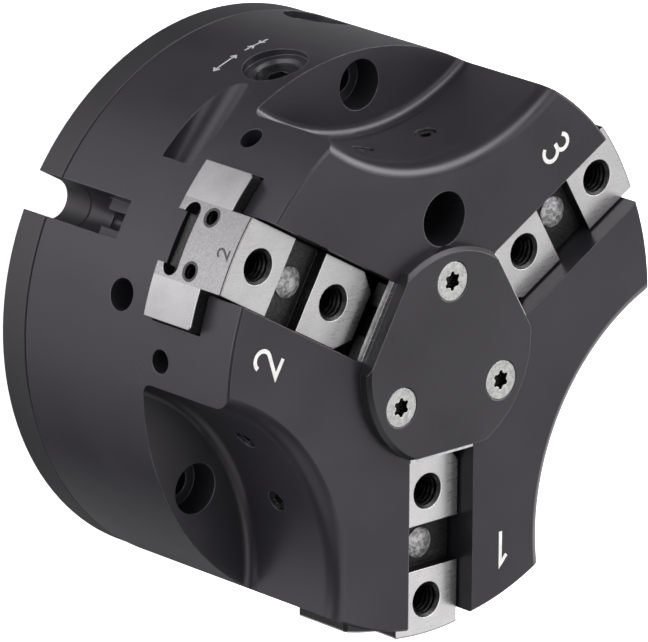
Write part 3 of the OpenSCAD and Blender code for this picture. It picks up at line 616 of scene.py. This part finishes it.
def thread(name, origin, axis, radius, depth, pitch, mat, body):
    """A helical ridge on a hole's wall: origin is at its mouth and axis points out of it.

    It starts a share of a pitch below the mouth, and its foot is sunk a little in the wall.
    """
    steps, first = 28, 0.6
    foot, crest, flank = radius + 0.02 * MM, radius - 0.42 * pitch, 0.48 * pitch
    profile = ((foot, -flank), (crest, 0.0), (foot, flank))
    up = Vector(axis).normalized()
    side = up.orthogonal().normalized()
    other = up.cross(side)
    turns = int(depth / pitch)
    verts, faces = [], []
    for k in range(turns * steps + 1):
        a = 2 * math.pi * k / steps
        out = side * math.cos(a) + other * math.sin(a)
        for r, h in profile:
            verts.append(Vector(origin) - up * (pitch * (k / steps + first) - h) + out * r)
    for k in range(turns * steps):
        for j in range(len(profile) - 1):
            a = 3 * k + j
            faces.append((a, a + 1, a + 4, a + 3))
    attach(mesh_object(name, verts, faces, mat, True), body)


def threads():
    """Threads of the holes that are looked into, at the places of the record's mounts."""
    for jaw, mount in jaw_mounts("threaded_hole"):
        axis = Vector(mount["axis"])
        half = mount["dims"]["length_mm"] * MM / 2
        radius = mount["dims"]["r_mm"] * MM
        pitch = 1.25 * MM if radius > 3 * MM else 0.7 * MM
        mouth = Vector(mount["pos_m"]) + axis * half
        thread(f"thread_{mount['name']}", mouth, axis, radius, 1.5 * half, pitch,
               JAW_STEEL[jaw], f"jaw_{jaw}")


# ---- Studio ----

# Watts of the soft box, and the glow of the floor and of the backdrop
SOFT_BOX_POWER = 20
FLOOR_GLOW = 0.95
BACKDROP_GLOW = 1.05
# Soft lights as (azimuth, elevation, strength), in degrees, for each width of light. A width is the
# cosine of the angle out to which it is at its full strength, and that of the angle where it ends.
SOFT_LIGHTS = {
    # What the jaw face and the cover reflect to the camera
    (0.97, 0.80): [(335, 24, 0.76)],
    # Level fill from three sides
    (0.95, 0.75): [(335, 0, 1.10), (65, 0, 0.12), (155, 0, 3.4)],
    # Small lights in an arc, which draw bright lines along the rounded rims of the pockets
    (0.995, 0.961): [(14, 17, 5.6), (33, 26, 5.4), (53, 30, 5.2), (72, 36, 3.6), (92, 36, 3.0)],
    # The lower pocket's wall
    (0.97, 0.86): [(250, 24, 0.7)],
    # Lights from below the horizon, which the upright wall and the jaws' ends reflect
    (0.985, 0.88): [(10, -45, 0.27), (85, -45, 0.13), (110, -45, 0.14), (135, -45, 0.79),
                    (160, -45, 0.36), (185, -45, 0.60), (210, -45, 0.33), (285, -45, 0.25)],
}


def camera():
    """The photograph's view: from azimuth 154.7 and elevation 44.7 degrees, rolled on its side."""
    azimuth, elevation, roll = math.radians(154.708), math.radians(44.671), math.radians(108.747)
    aim = Vector((-3.46, -0.17, 40.0)) * MM
    distance = 1.9574
    back = Vector((
        math.cos(elevation) * math.cos(azimuth),
        math.cos(elevation) * math.sin(azimuth),
        math.sin(elevation),
    ))
    level_right = Vector((-math.sin(azimuth), math.cos(azimuth), 0.0))
    level_up = back.cross(level_right)
    right = level_right * math.cos(roll) + level_up * math.sin(roll)
    up = back.cross(right)
    data = bpy.data.cameras.new("camera")
    data.lens = 495.8
    data.sensor_width = 36.0
    data.clip_end = 20.0
    made = bpy.data.objects.new("camera", data)
    bpy.context.scene.collection.objects.link(made)
    turn = Matrix((right, up, back)).transposed().to_4x4()
    made.matrix_world = Matrix.Translation(aim + back * distance) @ turn
    bpy.context.scene.camera = made


def glowing_white(name, strength, one_sided=False):
    """Matt white that glows, so it shows as plain white paper. One-sided, it is clear from its back."""
    mat, tree, shader = new_material(name)
    mottle = noise(tree, object_coords(tree), 6.0)
    tree.links.new(mix_colour(tree, mottle, (0.88, 0.88, 0.88), (0.92, 0.92, 0.92)),
                   shader.inputs["Base Color"])
    shader.inputs["Roughness"].default_value = 0.9
    shader.inputs["Emission Color"].default_value = (1.0, 1.0, 1.0, 1.0)
    shader.inputs["Emission Strength"].default_value = strength
    if one_sided:
        geometry = node(tree, "ShaderNodeNewGeometry")
        clear = node(tree, "ShaderNodeBsdfTransparent")
        either = node(tree, "ShaderNodeMixShader")
        tree.links.new(geometry.outputs["Backfacing"], either.inputs[0])
        tree.links.new(shader.outputs[0], either.inputs[1])
        tree.links.new(clear.outputs[0], either.inputs[2])
        tree.links.new(either.outputs[0], tree.nodes["Material Output"].inputs["Surface"])
    return mat


def floor():
    """A white floor just under the part, which sends no reflection or shadow to it."""
    size = 4.0
    verts = [(-size, -size, 0), (size, -size, 0), (size, size, 0), (-size, size, 0)]
    made = mesh_object("floor", verts, [(0, 1, 2, 3)], glowing_white("floor_white", FLOOR_GLOW, True))
    made.location.z = cad_bounds[0][2] - 0.02 * MM
    made.visible_glossy = False
    made.visible_shadow = False


def backdrop():
    """A white dome far round the floor, which stands behind the part in the low views."""
    steps, rings, radius = 48, 12, 6.0
    verts = []
    for j in range(-rings, rings):
        e = 0.5 * math.pi * j / rings
        across, height = radius * math.cos(e), radius * math.sin(e)
        for k in range(steps):
            a = 2 * math.pi * k / steps
            verts.append((across * math.cos(a), across * math.sin(a), height))
    faces = []
    for j in range(2 * rings - 1):
        for k in range(steps):
            n = (k + 1) % steps
            faces.append((j * steps + k, (j + 1) * steps + k, (j + 1) * steps + n, j * steps + n))
    made = mesh_object("backdrop", verts, faces, glowing_white("backdrop_white", BACKDROP_GLOW))
    for ray in ("visible_diffuse", "visible_glossy", "visible_transmission", "visible_shadow"):
        setattr(made, ray, False)


def soft_box():
    """A large square light, level, high over the part."""
    data = bpy.data.lights.new("soft_box", "AREA")
    data.shape = "RECTANGLE"
    data.size, data.size_y = 2.0, 2.0
    data.energy = SOFT_BOX_POWER
    made = bpy.data.objects.new("soft_box", data)
    bpy.context.scene.collection.objects.link(made)
    made.location = (0, 0, 1.65)


def lobe(tree, azimuth, elevation, inner, outer, power):
    """Soft light from one direction: power within the cosine inner, and none past the cosine outer."""
    a, e = math.radians(azimuth), math.radians(elevation)
    coords = node(tree, "ShaderNodeTexCoord")
    dot = node(tree, "ShaderNodeVectorMath", operation="DOT_PRODUCT")
    tree.links.new(coords.outputs["Generated"], dot.inputs[0])
    dot.inputs[1].default_value = (math.cos(e) * math.cos(a), math.cos(e) * math.sin(a), math.sin(e))
    made = node(tree, "ShaderNodeMapRange", interpolation_type="SMOOTHSTEP")
    made.inputs["From Min"].default_value = outer
    made.inputs["From Max"].default_value = inner
    made.inputs["To Max"].default_value = power
    tree.links.new(dot.outputs["Value"], made.inputs["Value"])
    return made.outputs["Result"]


def studio():
    """A dark room with soft lights from a few directions, and a large soft box over the part."""
    world = bpy.data.worlds.new("studio")
    bpy.context.scene.world = world
    world.use_nodes = True
    tree = world.node_tree
    background = tree.nodes["Background"]
    background.inputs["Color"].default_value = (1.0, 0.995, 1.0, 1.0)
    total = 0.0
    for (inner, outer), lights in SOFT_LIGHTS.items():
        for azimuth, elevation, power in lights:
            total = math_node(tree, "ADD", lobe(tree, azimuth, elevation, inner, outer, power), total)
    tree.links.new(total, background.inputs["Strength"])
    soft_box()
    bpy.context.scene.view_settings.view_transform = "Standard"


dress_nodes()
face_digits()
end_digits()
end_hole_mouths()
wall_symbols()
wiper_edges()
threads()
floor()
backdrop()
camera()
studio()
